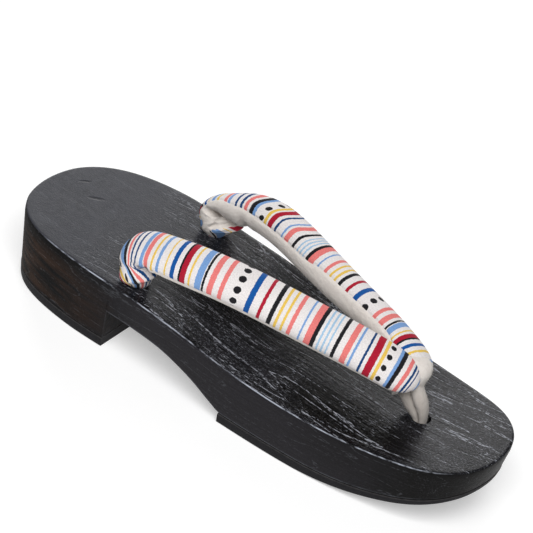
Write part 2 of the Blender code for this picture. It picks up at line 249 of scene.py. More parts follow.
# %% Make the black-stained wood
def stained_wood():
    material, tree, shader = new_material("black_stained_brushed_wood")
    place = add(tree, "TexCoord").outputs["Object"]
    axes = add(tree, "SeparateXYZ", {0: place}).outputs
    wall = add(tree, "Attribute", attribute_name="wall").outputs["Fac"]
    # The thin pale line along the rims is a painted highlight, read from a point attribute.
    rim_highlight = add(tree, "Attribute", attribute_name="rim_highlight").outputs["Fac"]
    # The growth rings: a block of wood cut along the trunk, so the ring pattern is drawn out along X.
    bent = add(tree, "TexNoise", {"Vector": place, "Scale": 1 / (60 * MM), "Detail": 1.0})
    swayed = add(tree, "VectorMath", {0: bent.outputs["Color"], 1: (0, 0.012, 0.012)}, operation="MULTIPLY")
    moved = add(tree, "VectorMath", {0: place, 1: swayed.outputs[0]}, operation="ADD").outputs[0]
    noise = {}
    for name, (size, detail, roughness) in GRAIN_NOISES.items():
        drawn = add(tree, "Mapping", {"Vector": place if name == "chip" else moved,
                                      "Scale": [1 / (length * MM) for length in size]})
        noise[name] = add(tree, "TexNoise", {"Vector": drawn.outputs[0], "Scale": 1.0, "Detail": detail,
                                             "Roughness": roughness}).outputs["Fac"]
    for name, (size, detail, distortion) in CLOUDS.items():
        noise[name] = add(tree, "TexNoise", {"Vector": place, "Scale": 1 / (size * MM), "Detail": detail,
                                             "Distortion": distortion}).outputs["Fac"]
    mask = {}
    for name, (source, black, white) in MASKS.items():
        mask[name] = add(tree, "ValToRGB", {"Fac": noise[source]},
                         stops=[(black, paint("#000000")), (white, paint("#FFFFFF"))]).outputs["Color"]
    # Matt zones: the heel is rubbed dull all over, the toe less so, and the middle keeps its lacquer.
    drift = add(tree, "Math", {0: noise["blotch"], 1: 0.030, 2: axes["X"]},
                operation="MULTIPLY_ADD").outputs[0]
    zone = {}
    for name, (along, start, full) in ZONES.items():
        zone[name] = add(tree, "MapRange", {"Value": drift if along == "drift" else axes[along],
                                            "From Min": start, "From Max": full}).outputs[0]
    on_top = add(tree, "Math", {0: 1.0, 1: wall}, operation="SUBTRACT").outputs[0]
    dull_heel_and_sheen = add(tree, "Math", {0: zone["heel"], 1: on_top}, operation="MULTIPLY").outputs[0]
    # Rubbed flecks: short strokes along the grain, kept to patches and off the heel.
    flecks = add(tree, "Math", {0: mask["rubbed"], 1: mask["in_patch"]}, operation="MULTIPLY")
    # Where the foot rubs, thin broken lines follow single rings: a contour of a slower noise.
    line = add(tree, "Math", {0: noise["vein"], 1: 0.5, 2: 0.009}, operation="COMPARE")
    veins = add(tree, "Math", {0: line.outputs[0], 1: mask["broken"]}, operation="MULTIPLY")
    flecks = add(tree, "Math", {0: flecks.outputs[0], 1: veins.outputs[0]}, operation="MAXIMUM")
    # In front of the near strap the footbed is painted darker, with fewer pore specks: a painted reflection
    # of the strap's shaded underside.
    reflection_map = add(tree, "Mapping", {"Vector": place, "Location": [c * MM for c in STRAP_REFLECTION],
                                       "Scale": [c * MM for c in STRAP_REFLECTION_SIZE]}, vector_type="TEXTURE")
    reflection_spot = add(tree, "TexGradient", {"Vector": reflection_map.outputs[0]}, gradient_type="SPHERICAL")
    painted_reflection = add(tree, "MapRange", {"Value": reflection_spot.outputs["Fac"], "From Max": 0.5}).outputs[0]
    outside_reflection = add(tree, "Math", {0: 1.0, 1: painted_reflection}, operation="SUBTRACT").outputs[0]
    # Everywhere between the flecks the open pores of the wood show as fainter, finer specks.
    on_ridges = add(tree, "MapRange", {"Value": mask["ridge"], "To Min": 0.25, "To Max": 1.0}).outputs[0]
    specks = add(tree, "MapRange", {"Value": noise["speck"], "From Min": 0.56, "From Max": 0.70,
                                    "To Max": 0.40}).outputs[0]
    for share in (on_ridges, outside_reflection):
        specks = add(tree, "Math", {0: specks, 1: share}, operation="MULTIPLY").outputs[0]
    flecks = add(tree, "Math", {0: flecks.outputs[0], 1: specks}, operation="MAXIMUM").outputs[0]
    off_heel = add(tree, "MapRange", {"Value": dull_heel_and_sheen, "To Min": 0.78, "To Max": 0.06}).outputs[0]
    off_wall = add(tree, "MapRange", {"Value": wall, "To Min": 1.0, "To Max": 0.10}).outputs[0]
    # The sharp rims have a thin pale line in long strokes, on their long near-straight run alone: a painted
    # highlight where the rim catches the light. The wall of the heel shows the brown of the wood through
    # the stain, in arcs of the growth rings.
    kept_in = ((flecks, (off_heel, off_wall)),
               (rim_highlight, (mask["chips"], zone["past_heel"], zone["before_toe"])),
               (mask["brown"], (wall, zone["far_back"], zone["low_down"])))
    layers = []
    for layer, shares in kept_in:
        for share in shares:
            layer = add(tree, "Math", {0: layer, 1: share}, operation="MULTIPLY").outputs[0]
        layers.append(layer)
    flecks, edge, thin_stain = layers
    # The walls are darker round the toe and the heel, and a little lighter along the sides.
    ends = add(tree, "Math", {0: zone["heel"], 1: zone["toe"]}, operation="MAXIMUM").outputs[0]
    dark_end_walls = add(tree, "Math", {0: ends, 1: wall}, operation="MULTIPLY").outputs[0]
    plain_wall = add(tree, "Math", {0: wall, 1: dark_end_walls}, operation="SUBTRACT").outputs[0]
    even = add(tree, "Math", {0: plain_wall, 1: 0.7}, operation="MULTIPLY").outputs[0]
    # The darkest coat covers the darker end walls and the painted reflection of the near strap.
    darkest = add(tree, "Math", {0: dark_end_walls, 1: painted_reflection}, operation="MAXIMUM").outputs[0]
    # The dull heel is painted a lighter grey in soft swirls, partly its rubbed finish and partly a painted
    # sheen; a knock and a smear near its tip are darker.
    swirled_sheen = add(tree, "MixRGB", {"Fac": noise["swirl"], "Color1": paint("#2A2B30"),
                                   "Color2": paint("#414249")}).outputs[0]
    marks = []
    for centre, size, turn in KNOCKS:
        near_mark = add(tree, "Mapping", {"Vector": place, "Location": [c * MM for c in centre],
                                          "Rotation": (0, 0, math.radians(turn)),
                                          "Scale": [c * MM for c in size]},
                        vector_type="TEXTURE")
        mark = add(tree, "TexGradient", {"Vector": near_mark.outputs[0]}, gradient_type="SPHERICAL")
        marks.append(mark.outputs["Fac"])
    marked = add(tree, "Math", {0: marks[0], 1: marks[1]}, operation="ADD").outputs[0]
    mark_share = add(tree, "Math", {0: marked, 1: 0.6}, operation="MULTIPLY", use_clamp=True).outputs[0]
    colour = add(tree, "MixRGB", {"Fac": mask["ridge"], "Color1": paint("#0B0B0D"),
                                  "Color2": paint("#1C1B1F")}).outputs[0]
    for share, coat in ((even, paint("#232125")), (darkest, paint("#070606")), (dull_heel_and_sheen, swirled_sheen),
                        (mark_share, paint("#0C0C0E")), (thin_stain, paint("#3A281D")),
                        (flecks, paint("#A4A7B0")), (edge, paint("#BFC5D2"))):
        colour = add(tree, "MixRGB", {"Fac": share, "Color1": colour, "Color2": coat}).outputs[0]
    tree.links.new(colour, shader.inputs["Base Color"])
    # The lacquer is satin where it is kept, and matt where it is rubbed and on the walls.
    satin = add(tree, "MapRange", {"Value": noise["rings"], "From Min": 0.3, "From Max": 0.7,
                                   "To Min": 0.13, "To Max": 0.24}).outputs[0]
    slightly = add(tree, "Math", {0: zone["toe"], 1: 0.4}, operation="MULTIPLY").outputs[0]
    ground_off = add(tree, "Math", {0: dull_heel_and_sheen, 1: slightly}, operation="MAXIMUM").outputs[0]
    matt = add(tree, "Math", {0: ground_off, 1: wall}, operation="MAXIMUM").outputs[0]
    brown_wall = add(tree, "Math", {0: zone["heel"], 1: wall}, operation="MULTIPLY").outputs[0]
    rough = satin
    for share, more in ((matt, 0.30), (brown_wall, 0.25)):
        rough = add(tree, "Math", {0: share, 1: more, 2: rough}, operation="MULTIPLY_ADD").outputs[0]
    tree.links.new(rough, shader.inputs["Roughness"])
    shader.inputs["Specular IOR Level"].default_value = 0.10
    kept = add(tree, "MapRange", {"Value": ground_off, "To Min": 1.0, "To Max": 0.12}).outputs[0]
    height = add(tree, "Math", {0: noise["rings"], 1: kept}, operation="MULTIPLY").outputs[0]
    for share, more in ((noise["grit"], 0.60), (marked, -1.5)):
        height = add(tree, "Math", {0: share, 1: more, 2: height}, operation="MULTIPLY_ADD").outputs[0]
    bump = add(tree, "Bump", {"Height": height, "Strength": 0.7, "Distance": 0.28 * MM})
    tree.links.new(bump.outputs[0], shader.inputs["Normal"])
    return material


WOOD = stained_wood()
print("grain every", GRAIN_NOISES["rings"][0][1], "mm")

# %% [markdown]
# ## The board
#
# The board is an oval plank with a rocker: a block under the heel, an arch, and a forefoot that
# curls up at the toe. It could be cut from a slab with Booleans, as the solid is, but then its edges
# stay knife-sharp. Here it is a skin over closed rings that follow the outline. From the middle
# of the underside the rings go out to the edge, round it, up the leaning wall, round the top edge
# and in to the middle of the footbed. The rings at the edges are close together, which rounds them
# and gives them their own strip for the painted highlight.

# %% Set the board's own curves
WALL_LEAN = 0.096
SOLE_THICKNESS, TOE_SOLE_THICKNESS, GLUE_LINE = 0.0047, 0.0022, 0.0003
HEEL_FRONT_X, ARCH_HEIGHT, FOREFOOT_BACK_X = -0.0536, 0.0197, 0.0095
TOE_SPRING_X, TOE_SPRING = 0.045, 0.0190
SOLE_SEAT = SOLE_THICKNESS + GLUE_LINE
# A hair's breadth parts two rings at a step, and the outline's slope is taken over a short step.
HAIR, SLOPE_STEP = 0.00002, 0.0004
OUTLINE_STEPS = 150
OUTLINE = {
    "turn":  (0, 14, 32, 52, 72, 92, 112, 132, 150, 166, 180),
    "reach": (0, 0.439, 0.798, 0.968, 0.978, 0.996, 0.980, 0.883, 0.720, 0.413, 0),
}
ARCH = {
    "along": (0, 0.25, 0.45, 0.6, 0.75, 0.9, 1),
    "rise":  (1, 0.955, 0.885, 0.74, 0.52, 0.21, 0),
}


def toe_share(x):
    return max(0, (x - TOE_SPRING_X) / (BOARD_LENGTH / 2 - TOE_SPRING_X))


def sole_bottom(x):
    return TOE_SPRING * toe_share(x) ** 2


def sole_top(x):
    return sole_bottom(x) + SOLE_THICKNESS + (TOE_SOLE_THICKNESS - SOLE_THICKNESS) * toe_share(x)


def arch_height(x):
    share = (x - HEEL_FRONT_X) / (FOREFOOT_BACK_X - HEEL_FRONT_X)
    return SOLE_SEAT + (ARCH_HEIGHT - SOLE_SEAT) * read(ARCH, share, "rise")


def board_bottom(x):
    """The underside: the heel block, the arch, then the forefoot on its sole."""
    if x < HEEL_FRONT_X:
        return SOLE_SEAT
    return arch_height(x) if x < FOREFOOT_BACK_X else sole_top(x) + GLUE_LINE


def half_width(x):
    turn = math.degrees(math.acos(min(max(-2 * x / BOARD_LENGTH, -1), 1)))
    return read(OUTLINE, turn, "reach") * BOARD_WIDTH / 2


def stations(low, high, *doubled):
    """Places along the board, close together at its tips. A doubled place has one on each side of it."""
    turns = [math.pi * i / OUTLINE_STEPS for i in range(OUTLINE_STEPS + 1)]
    places = [-math.cos(t) * BOARD_LENGTH / 2 for t in turns]
    places = [x for x in places if low < x < high and all(abs(x - d) > 10 * HAIR for d in doubled)]
    places += [d + s for d in doubled for s in (-HAIR, HAIR)]
    return [low, *sorted(places), high]


def outline_ring(places, height, inset=0.0, drop=0.0, cut=()):
    """A closed ring round the outline: near side to the toe, far side back to the heel."""
    near = []
    for x in places:
        a, b = max(x - SLOPE_STEP, -BOARD_LENGTH / 2), min(x + SLOPE_STEP, BOARD_LENGTH / 2)
        run = Vector((b - a, half_width(a) - half_width(b)))
        outward = Vector((run.y, -run.x)).normalized()
        if abs(x) > BOARD_LENGTH / 2 - 1e-6:
            outward = Vector((math.copysign(1, x), 0))
        point = Vector((x, -half_width(x)))
        moved = point.copy()
        for _ in range(4):
            lean = WALL_LEAN * (footbed_height(moved.x) - height(moved.x)) + inset
            moved = point - outward * lean
            if x in cut:
                moved.x = x
        near.append(Vector((moved.x, min(moved.y, 0), height(moved.x) - drop)))
    far = [Vector((p.x, -p.y, p.z)) for p in reversed(near)]
    return near + [p for p in far if abs(p.y) > 1e-7 or p.x != near[-1].x and p.x != near[0].x]


print("the board is", round(2 * half_width(0) / MM, 1), "mm wide at its middle")

# %% Skin a set of rings
def ring_of(bm, points):
    verts = [bm.verts.new(point) for point in points]
    return [bm.edges.new((verts[i - 1], verts[i])) for i in range(len(verts))]


def drawn_in(ring, share):
    """The same ring with its width scaled, so that it closes on the middle line at 0."""
    return [Vector((p.x, p.y * share, p.z)) for p in ring]


def skin(rings):
    bm = bmesh.new()
    loops = [ring_of(bm, ring) for ring in rings]
    for low, high in zip(loops, loops[1:]):
        bmesh.ops.bridge_loops(bm, edges=low + high)
    bmesh.ops.remove_doubles(bm, verts=bm.verts, dist=1e-6)
    bmesh.ops.dissolve_degenerate(bm, edges=bm.edges, dist=1e-7)
    return bm


# %% Make the board
TOP_EDGE = ((0.0, 0.0030), (0.0, 0.0012), (0.00006, 0.0006),
            (0.00022, 0.00022), (0.0006, 0.00006), (0.0012, 0.0))
LOW_EDGE = ((0.0011, 0.0), (0.00045, -0.00006), (0.0001, -0.0003), (0.0, -0.0011))
CLOSING = (0.96, 0.85, 0.7, 0.5, 0.3, 0.12, 0.0)
REAR_HOLE_RADIUS, FRONT_HOLE_RADIUS = 0.0047, 0.0042
REAR_HOLE_X, REAR_HOLE_Y = HEEL_FRONT_X + 0.0006 + REAR_HOLE_RADIUS, BOARD_WIDTH / 2 - 0.0125
FRONT_HOLE_X = BOARD_LENGTH / 2 - 0.0386
POCKET_RADIUS, POCKET_ROOF = 0.0100, 0.0120
# Heights clear of the board below and above, between which a drill runs.
BELOW, ABOVE = -0.01, 0.06


def board_skin():
    places = stations(-BOARD_LENGTH / 2, BOARD_LENGTH / 2, HEEL_FRONT_X)
    split = (HEEL_FRONT_X - HAIR, HEEL_FRONT_X + HAIR)
    under = [outline_ring(places, board_bottom, inset, drop, split) for inset, drop in LOW_EDGE]
    over = [outline_ring(places, footbed_height, inset, drop, split) for inset, drop in TOP_EDGE]
    closed_under = [drawn_in(under[0], share) for share in reversed(CLOSING)]
    closed_over = [drawn_in(over[-1], share) for share in CLOSING]
    return skin(closed_under + under + over + closed_over)


def drill(board, x, y, radius, low, high):
    """Cut a round hole and leave the result in the board's mesh."""
    bm = bmesh.new()
    bmesh.ops.create_cone(bm, cap_ends=True, segments=48, radius1=radius, radius2=radius, depth=high - low)
    bmesh.ops.translate(bm, verts=bm.verts, vec=(x, y, (low + high) / 2))
    bit = make_object("drill_bit", bm)
    cut = board.modifiers.new("hole", "BOOLEAN")
    cut.operation, cut.solver, cut.object = "DIFFERENCE", "EXACT", bit
    bpy.context.view_layer.update()
    drilled = bpy.data.meshes.new_from_object(board.evaluated_get(bpy.context.evaluated_depsgraph_get()))
    board.modifiers.remove(cut)
    board.data = drilled
    bpy.data.objects.remove(bit)


# The bands in metres, below the top edge and above the low edge, in which the rims carry the painted
# highlight.
TOP_RIM, LOW_RIM, LOW_RIM_HIGHLIGHT = (0.0001, 0.0004), (0.00003, 0.0006), 0.12
SHARP = math.radians(50)


def mark_rim_highlight_and_wall(board):
    """How strongly each point carries the painted rim highlight, which is the two rims alone, and whether it
    is on the wall or underside.
    """
    rim_highlight = board.data.attributes.new("rim_highlight", "FLOAT", "POINT")
    wall = board.data.attributes.new("wall", "FLOAT", "POINT")
    for i, vertex in enumerate(board.data.vertices):
        x, y, z = vertex.co
        from_top = footbed_height(x) - z
        on_top_rim = TOP_RIM[0] < from_top < TOP_RIM[1]
        outer = x > HEEL_FRONT_X and abs(y) > 0.5 * half_width(x)
        on_low_rim = outer and LOW_RIM[0] < z - board_bottom(x) < LOW_RIM[1]
        rim_highlight.data[i].value = 1.0 if on_top_rim else LOW_RIM_HIGHLIGHT if on_low_rim else 0.0
        wall.data[i].value = 1.0 if from_top > TOP_RIM[1] else 0.0


board = make_object("board", board_skin(), WOOD)
for hole_x, hole_y, radius, high in (
        (REAR_HOLE_X, -REAR_HOLE_Y, REAR_HOLE_RADIUS, ABOVE),
        (REAR_HOLE_X, REAR_HOLE_Y, REAR_HOLE_RADIUS, ABOVE),
        (FRONT_HOLE_X, 0, FRONT_HOLE_RADIUS, ABOVE),
        (FRONT_HOLE_X, 0, POCKET_RADIUS, footbed_height(FRONT_HOLE_X) - POCKET_ROOF)):
    drill(board, hole_x, hole_y, radius, BELOW, high)
board.data.set_sharp_from_angle(angle=SHARP)
# The painted highlight along the rims, and the walls, are marked on the points.
mark_rim_highlight_and_wall(board)
dress(board, "dai")

# %% [markdown]
# ## The rubber soles
#
# Two sheets of black rubber are glued under the heel block and the forefoot, and trimmed flush with
# the wall. They are moulded sheet: matt, a little grey beside the lacquered wood, with a fine ribbed
# tread at the rim. They are skinned over rings as the board is, from the same outline.

# %% Make the black rubber
RIB_PITCH = 0.55 * MM


def black_rubber():
    material, tree, shader = new_material("moulded_black_rubber")
    place = add(tree, "TexCoord").outputs["Object"]
    mottle = add(tree, "TexNoise", {"Vector": place, "Scale": 1 / (2.2 * MM), "Detail": 4.0})
    tone = add(tree, "MixRGB", {"Fac": mottle.outputs["Fac"], "Color1": paint("#151517"),
                                "Color2": paint("#242326")})
    # The trimmed top rim is painted a little paler, a painted highlight where its edge catches the light, and
    # the lower rim shows the ends of the tread's ribs.
    trimmed = add(tree, "Attribute", attribute_name="trimmed")
    trimmed_rim_highlight = add(tree, "Math", {0: trimmed.outputs["Fac"], 1: mottle.outputs["Fac"]}, operation="MULTIPLY")
    tone = add(tree, "MixRGB", {"Fac": trimmed_rim_highlight.outputs[0], "Color1": tone.outputs[0], "Color2": paint("#4C4A4A")})
    tread = add(tree, "Attribute", attribute_name="tread")
    # A wave texture repeats every pi / 10 at a scale of 1.
    ribs = add(tree, "TexWave", {"Vector": place, "Scale": math.pi / 10 / RIB_PITCH})
    ribbed = add(tree, "Math", {0: ribs.outputs["Fac"], 1: tread.outputs["Fac"]}, operation="MULTIPLY")
    tone = add(tree, "MixRGB", {"Fac": ribbed.outputs[0], "Color1": tone.outputs[0],
                                "Color2": paint("#333234")})
    tree.links.new(tone.outputs[0], shader.inputs["Base Color"])
    shader.inputs["Roughness"].default_value = 0.62
    shader.inputs["Specular IOR Level"].default_value = 0.12
    height = add(tree, "Math", {0: ribbed.outputs[0], 1: 2.0, 2: mottle.outputs["Fac"]},
                 operation="MULTIPLY_ADD")
    bump = add(tree, "Bump", {"Height": height.outputs[0], "Strength": 0.5, "Distance": 0.2 * MM})
    tree.links.new(bump.outputs[0], shader.inputs["Normal"])
    return material


RUBBER = black_rubber()
print("a rib every", RIB_PITCH / MM, "mm")

# %% Make the soles
SOLE_TOP_EDGE = ((0.0, 0.0006), (0.0001, 0.0001), (0.0005, 0.0))
TRIMMED_RIM, RIBBED_RIM = 0.0003, (0.00003, 0.0008)
BOARD_TIP = 0.1


def sole(name, low, high):
    """A sheet between the two curves. It is cut square at an end that isn't a tip of the board."""
    places = stations(low, high)
    cut = tuple(x for x in (low, high) if abs(x) < BOARD_TIP)
    under = [outline_ring(places, sole_bottom, inset, drop, cut) for inset, drop in LOW_EDGE]
    over = [outline_ring(places, sole_top, inset, drop, cut) for inset, drop in SOLE_TOP_EDGE]
    closed_under = [drawn_in(under[0], share) for share in reversed(CLOSING)]
    closed_over = [drawn_in(over[-1], share) for share in CLOSING]
    return make_object(name, skin(closed_under + under + over + closed_over), RUBBER)


def mark_rims(piece):
    """Whether each point belongs to the trimmed upper rim and to the ribbed lower rim."""
    trimmed = piece.data.attributes.new("trimmed", "FLOAT", "POINT")
    tread = piece.data.attributes.new("tread", "FLOAT", "POINT")
    for i, vertex in enumerate(piece.data.vertices):
        x, _, z = vertex.co
        trimmed.data[i].value = 1.0 if sole_top(x) - z < TRIMMED_RIM else 0.0
        tread.data[i].value = 1.0 if RIBBED_RIM[0] < z - sole_bottom(x) < RIBBED_RIM[1] else 0.0


heel_rubber = sole("heel_rubber", -BOARD_LENGTH / 2, HEEL_FRONT_X)
forefoot_rubber = sole("forefoot_rubber", FOREFOOT_BACK_X, BOARD_LENGTH / 2)
drill(forefoot_rubber, FRONT_HOLE_X, 0, POCKET_RADIUS, BELOW, 0.03)
for piece, node in ((heel_rubber, "heel_sole"), (forefoot_rubber, "forefoot_sole")):
    piece.data.set_sharp_from_angle(angle=SHARP)
    dress(piece, node)
    mark_rims(piece)

# %% [markdown]
# ## The cloth of the straps
#
# The outer face is a printed cotton: stripes of eight colours across the strap and two rows of dots,
# on white. The print repeats every 129 mm. One strap is cut with the repeat running forward and the
# other with it running back, so both can be drawn from one chart of where each stripe starts and
# stops. The lining is a brushed cream flannel.

# %% Chart the repeat of the print
REPEAT = 129.0
INK = {"royal": "#15569F", "navy": "#1B4679", "sky": "#7BA2D6", "hair": "#A3C6E2", "coral": "#EA7F7C",
       "crimson": "#AE1B33", "yellow": "#EBC55C", "black": "#1F1E22"}
GROUND = "#ECE7E6"
STRIPES = (
    (3.6, 5.2, "sky"), (5.2, 7.1, "black"), (8.3, 10.0, "coral"), (11.0, 11.9, "navy"), (13.3, 14.2, "navy"),
    (16.9, 18.6, "sky"), (19.0, 21.1, "coral"), (24.0, 24.9, "yellow"), (26.4, 27.7, "sky"),
    (30.3, 31.0, "yellow"), (33.0, 34.8, "royal"), (36.8, 37.6, "black"), (37.6, 39.9, "crimson"),
    (41.4, 42.2, "yellow"), (44.4, 47.1, "sky"), (47.5, 48.4, "black"), (50.0, 52.3, "coral"),
    (54.8, 56.7, "coral"), (66.9, 69.3, "royal"), (72.7, 74.1, "crimson"), (77.3, 79.3, "black"),
    (80.7, 81.9, "yellow"), (83.7, 84.8, "yellow"), (86.8, 88.4, "coral"), (91.9, 92.7, "sky"),
    (94.7, 97.5, "coral"), (97.5, 99.3, "black"), (100.5, 101.3, "hair"), (102.6, 103.4, "hair"),
    (104.6, 105.4, "hair"), (107.1, 108.7, "black"), (111.3, 113.8, "coral"), (114.9, 115.9, "sky"),
    (119.4, 120.3, "navy"), (121.9, 124.9, "crimson"), (125.9, 127.2, "yellow"),
)
DOT_ROWS, DOT_PITCH = ((0.0, 2.5), (61.8, 3.15)), 5.1


def stripe_stops(low, high):
    """Ramp stops for the part of the repeat from low to high, as shares of that part."""
    stops = [(0.0, paint(GROUND))]
    for start, stop, ink in STRIPES:
        if low <= start < high:
            stops = [s for s in stops if abs(s[0] - (start - low) / (high - low)) > 1e-5]
            stops.append(((start - low) / (high - low), paint(INK[ink])))
            stops.append(((stop - low) / (high - low), paint(GROUND)))
    return stops


print(len(STRIPES), "stripes in a repeat of", REPEAT, "mm")

# %% Make the printed cotton
THREAD, RAG = 0.45 * MM, 0.7 * MM
# A real weave is too fine to show, so it is drawn about three times as coarse as its threads.
WEAVE_PITCH = math.pi * THREAD
# One ramp holds at most 32 stops, so the repeat is drawn with four, which meet at these places in mm.
RAMP_ENDS = (0.0, 32.0, 63.0, 93.5, REPEAT)


def printed_cotton():
    material, tree, shader = new_material("printed_striped_cotton")
    uv = add(tree, "UVMap", uv_map="cloth")
    # Ink bleeds a little along the threads, so every edge of the print is slightly ragged.
    bleed = add(tree, "TexNoise", {"Vector": uv.outputs["UV"], "Scale": 1 / (2 * THREAD), "Detail": 3.0})
    off = add(tree, "Math", {0: bleed.outputs["Fac"], 1: 0.5}, operation="SUBTRACT")
    ragged = add(tree, "Math", {0: off.outputs[0], 1: RAG}, operation="MULTIPLY")
    bled = add(tree, "CombineXYZ", {0: ragged.outputs[0], 1: ragged.outputs[0]})
    cloth = add(tree, "VectorMath", {0: uv.outputs["UV"], 1: bled.outputs[0]}, operation="ADD")
    parts = add(tree, "SeparateXYZ", {0: cloth.outputs[0]})
    along = add(tree, "Math", {0: parts.outputs["X"], 1: REPEAT * MM}, operation="FLOORED_MODULO")
    colour = None
    for low, high in zip(RAMP_ENDS, RAMP_ENDS[1:]):
        share = add(tree, "MapRange", {"Value": along.outputs[0], "From Min": low * MM,
                                       "From Max": high * MM})
        ramp = add(tree, "ValToRGB", {"Fac": share.outputs[0]}, stops=stripe_stops(low, high))
        ramp.color_ramp.interpolation = "CONSTANT"
        if colour is None:
            colour = ramp.outputs["Color"]
        else:
            past = add(tree, "Math", {0: along.outputs[0], 1: low * MM}, operation="GREATER_THAN")
            colour = add(tree, "MixRGB", {"Fac": past.outputs[0], "Color1": colour,
                                          "Color2": ramp.outputs["Color"]}).outputs[0]
    across = add(tree, "Math", {0: parts.outputs["Y"], 1: DOT_PITCH * MM / 2, 2: DOT_PITCH * MM},
                 operation="ADD")
    across = add(tree, "Math", {0: across.outputs[0], 1: DOT_PITCH * MM}, operation="FLOORED_MODULO")
    across = add(tree, "Math", {0: across.outputs[0], 1: DOT_PITCH * MM / 2}, operation="SUBTRACT")
    for row, size in DOT_ROWS:
        shifted = add(tree, "Math", {0: parts.outputs["X"], 1: (REPEAT / 2 - row) * MM}, operation="ADD")
        wrapped = add(tree, "Math", {0: shifted.outputs[0], 1: REPEAT * MM}, operation="FLOORED_MODULO")
        beside = add(tree, "Math", {0: wrapped.outputs[0], 1: REPEAT / 2 * MM}, operation="SUBTRACT")
        offset = add(tree, "CombineXYZ", {0: beside.outputs[0], 1: across.outputs[0]})
        away = add(tree, "VectorMath", {0: offset.outputs[0]}, operation="LENGTH")
        inside = add(tree, "Math", {0: away.outputs["Value"], 1: size * MM / 2}, operation="LESS_THAN")
        colour = add(tree, "MixRGB", {"Fac": inside.outputs[0], "Color1": colour,
                                      "Color2": paint(INK["black"])}).outputs[0]
    fibre = add(tree, "TexNoise", {"Vector": uv.outputs["UV"], "Scale": 1 / (1.3 * THREAD), "Detail": 2.0})
    mottle = add(tree, "MapRange", {"Value": fibre.outputs["Fac"], "From Min": 0.3, "From Max": 0.7,
                                    "To Min": 0.83, "To Max": 1.05})
    dyed = add(tree, "VectorMath", {0: colour, "Scale": mottle.outputs[0]}, operation="SCALE")
    tree.links.new(dyed.outputs[0], shader.inputs["Base Color"])
    threads = [add(tree, "TexWave", {"Vector": uv.outputs["UV"], "Scale": math.pi / 10 / WEAVE_PITCH},
                   bands_direction=way).outputs["Fac"] for way in "XY"]
    weave = add(tree, "Math", {0: threads[0], 1: threads[1]}, operation="ADD")
    slub = add(tree, "TexNoise", {"Vector": uv.outputs["UV"], "Scale": 1 / (0.9 * MM), "Detail": 3.0})
    weave = add(tree, "Math", {0: slub.outputs["Fac"], 1: 1.5, 2: weave.outputs[0]}, operation="MULTIPLY_ADD")
    bump = add(tree, "Bump", {"Height": weave.outputs[0], "Strength": 0.5, "Distance": 0.09 * MM})
    tree.links.new(bump.outputs[0], shader.inputs["Normal"])
    shader.inputs["Roughness"].default_value = 0.9
    shader.inputs["Specular IOR Level"].default_value = 0.12
    shader.inputs["Sheen Weight"].default_value = 0.04
    shader.inputs["Sheen Roughness"].default_value = 0.6
    return material


COTTON = printed_cotton()
print("threads of", THREAD / MM, "mm, drawn as a weave every", round(WEAVE_PITCH / MM, 2), "mm")

# %% Make the cream flannel
NAP, TUFT = 0.7 * MM, 2.6 * MM


def cream_flannel():
    material, tree, shader = new_material("brushed_cream_flannel")
    place = add(tree, "TexCoord").outputs["Object"]
    nap = add(tree, "TexNoise", {"Vector": place, "Scale": 1 / NAP, "Detail": 5.0, "Roughness": 0.7})
    tuft = add(tree, "TexNoise", {"Vector": place, "Scale": 1 / TUFT, "Detail": 2.0})
    cloudy = add(tree, "MixRGB", {"Fac": tuft.outputs["Fac"], "Color1": paint("#BBAFA4"),
                                  "Color2": paint("#EDE6DE")})
    tone = add(tree, "MixRGB", {"Fac": nap.outputs["Fac"], "Color1": cloudy.outputs[0],
                                "Color2": paint("#F1EBE6")})
    # Low down and in front, between the toes, the strands are painted grey: painted shade where they run down
    # into the hole.
    parts = add(tree, "SeparateXYZ", {0: place})
    low = add(tree, "MapRange", {"Value": parts.outputs["Z"], "From Min": 0.048, "From Max": 0.037})
    in_front = add(tree, "MapRange", {"Value": parts.outputs["X"], "From Min": 0.062, "From Max": 0.067})
    low_front_shade = add(tree, "Math", {0: low.outputs[0], 1: in_front.outputs[0]}, operation="MULTIPLY")
    share = add(tree, "Math", {0: low_front_shade.outputs[0], 1: 0.55}, operation="MULTIPLY")
    tone = add(tree, "MixRGB", {"Fac": share.outputs[0], "Color1": tone.outputs[0],
                                "Color2": paint("#8F857B")})
    tree.links.new(tone.outputs[0], shader.inputs["Base Color"])
    shader.inputs["Roughness"].default_value = 0.95
    shader.inputs["Sheen Weight"].default_value = 0.3
    shader.inputs["Sheen Roughness"].default_value = 0.7
    height = add(tree, "Math", {0: tuft.outputs["Fac"], 1: 1.5, 2: nap.outputs["Fac"]},
                 operation="MULTIPLY_ADD")
    bump = add(tree, "Bump", {"Height": height.outputs[0], "Strength": 0.9, "Distance": 0.40 * MM})
    tree.links.new(bump.outputs[0], shader.inputs["Normal"])
    return material


FLANNEL = cream_flannel()
print("a nap of", NAP / MM, "mm in tufts of", TUFT / MM, "mm")

# %% [markdown]
# ## The padded straps
#
# A hanao strap is a tube of cloth round soft padding: the printed cotton on top, the flannel on the
# face that touches the foot, joined by a seam along each side. It could be swollen from a flat tube
# with a cloth simulation, but the print has to keep its place to the millimetre, so it is
# skinned over ovals along the middle line instead. Each oval has points on its two seams, so the
# cotton and the flannel are separate strips of faces, and the cloth sinks a little where they are sewn.

